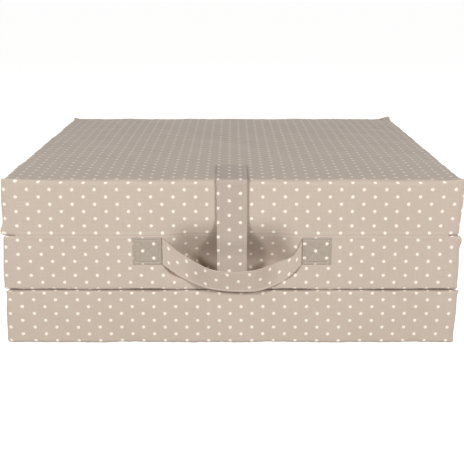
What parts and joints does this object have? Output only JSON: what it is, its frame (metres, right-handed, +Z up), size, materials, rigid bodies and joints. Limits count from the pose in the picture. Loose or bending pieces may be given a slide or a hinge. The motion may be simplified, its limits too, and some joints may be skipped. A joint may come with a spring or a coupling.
{
  "type": "folding mattress",
  "caption": "Foam mattress in square panels folded in a Z into a stack, with a zipped dotted cotton cover, a sewn carry handle and a closing strap.",
  "frame": {"origin": "middle of the bottom panel's footprint, on the floor", "axes": "+Z up, -Y towards the carry handle, +X to the right for someone who faces the handle"},
  "size_m": [0.6555, 0.6816, 0.2483],
  "materials": {
    "cover_cotton": "matte",
    "handle_cotton": "matte",
    "strap_cotton": "matte",
    "foam": "matte",
    "zip_tape": "matte",
    "zip_coil": "satin",
    "zip_metal": "satin",
    "hook_tape": "matte",
    "loop_tape": "matte"
  },
  "bodies": {
    "bottom_panel": {"bottom_panel_lower_sheet": "cover_cotton", "bottom_panel_upper_sheet": "cover_cotton", "bottom_panel_side_band": "cover_cotton", "bottom_panel_foam_core": "foam", "bottom_panel_zip_tape": "zip_tape", "bottom_panel_zip_chain": "zip_coil", "back_fold_seam": "cover_cotton", "strap_loop_tongue": "loop_tape"},
    "bottom_panel_zip_slider_body": {"bottom_panel_zip_slider": "zip_metal"},
    "bottom_panel_zip_pull_body": {"bottom_panel_zip_pull": "zip_metal"},
    "middle_panel": {"middle_panel_lower_sheet": "cover_cotton", "middle_panel_upper_sheet": "cover_cotton", "middle_panel_side_band": "cover_cotton", "middle_panel_foam_core": "foam", "middle_panel_zip_tape": "zip_tape", "middle_panel_zip_chain": "zip_coil", "front_fold_seam": "cover_cotton", "left_handle_patch": "handle_cotton", "right_handle_patch": "handle_cotton"},
    "middle_panel_zip_slider_body": {"middle_panel_zip_slider": "zip_metal"},
    "middle_panel_zip_pull_body": {"middle_panel_zip_pull": "zip_metal"},
    "top_panel": {"top_panel_lower_sheet": "cover_cotton", "top_panel_upper_sheet": "cover_cotton", "top_panel_side_band": "cover_cotton", "top_panel_foam_core": "foam", "top_panel_zip_tape": "zip_tape", "top_panel_zip_chain": "zip_coil", "closing_strap_end": "strap_cotton"},
    "top_panel_zip_slider_body": {"top_panel_zip_slider": "zip_metal"},
    "top_panel_zip_pull_body": {"top_panel_zip_pull": "zip_metal"},
    "carry_handle": {"carry_handle_band": "handle_cotton"},
    "closing_strap": {"closing_strap_flap": "strap_cotton", "strap_hook_tape": "hook_tape"}
  },
  "joints": [
    {"name": "back_fold", "type": "hinge", "parent": "bottom_panel", "child": "middle_panel", "pos_m": [0, 0.3262, 0.08115], "axis": [-1, 0, 0], "range_deg": [0, 180]},
    {"name": "front_fold", "type": "hinge", "parent": "middle_panel", "child": "top_panel", "pos_m": [0, -0.3262, 0.16245], "axis": [1, 0, 0], "range_deg": [0, 180]},
    {"name": "handle_lift", "type": "hinge", "parent": "middle_panel", "child": "carry_handle", "pos_m": [0, -0.3263, 0.14045], "axis": [-1, 0, 0], "range_deg": [0, 100], "deforming": ["carry_handle_band"]},
    {"name": "strap_release", "type": "hinge", "parent": "top_panel", "child": "closing_strap", "pos_m": [0, -0.3282, 0.2455], "axis": [-1, 0, 0], "range_deg": [0, 264], "deforming": ["closing_strap_flap", "strap_hook_tape"]},
    {"name": "bottom_panel_zip_run", "type": "slide", "parent": "bottom_panel", "child": "bottom_panel_zip_slider_body", "axis": [0, -1, 0], "range_m": [0, 0.5414]},
    {"name": "bottom_panel_pull_swing", "type": "hinge", "parent": "bottom_panel_zip_slider_body", "child": "bottom_panel_zip_pull_body", "pos_m": [-0.3284, 0.2707, 0.0405], "axis": [0, 0, -1], "range_deg": [0, 180]},
    {"name": "middle_panel_zip_run", "type": "slide", "parent": "middle_panel", "child": "middle_panel_zip_slider_body", "axis": [0, -1, 0], "range_m": [0, 0.5414]},
    {"name": "middle_panel_pull_swing", "type": "hinge", "parent": "middle_panel_zip_slider_body", "child": "middle_panel_zip_pull_body", "pos_m": [-0.3284, 0.2707, 0.1218], "axis": [0, 0, -1], "range_deg": [0, 180]},
    {"name": "top_panel_zip_run", "type": "slide", "parent": "top_panel", "child": "top_panel_zip_slider_body", "axis": [0, -1, 0], "range_m": [0, 0.5414]},
    {"name": "top_panel_pull_swing", "type": "hinge", "parent": "top_panel_zip_slider_body", "child": "top_panel_zip_pull_body", "pos_m": [-0.3284, 0.2707, 0.2031], "axis": [0, 0, -1], "range_deg": [0, 180]}
  ],
  "couplings": [
    {"joint": "front_fold", "follows": "back_fold", "ratio": 1}
  ]
}
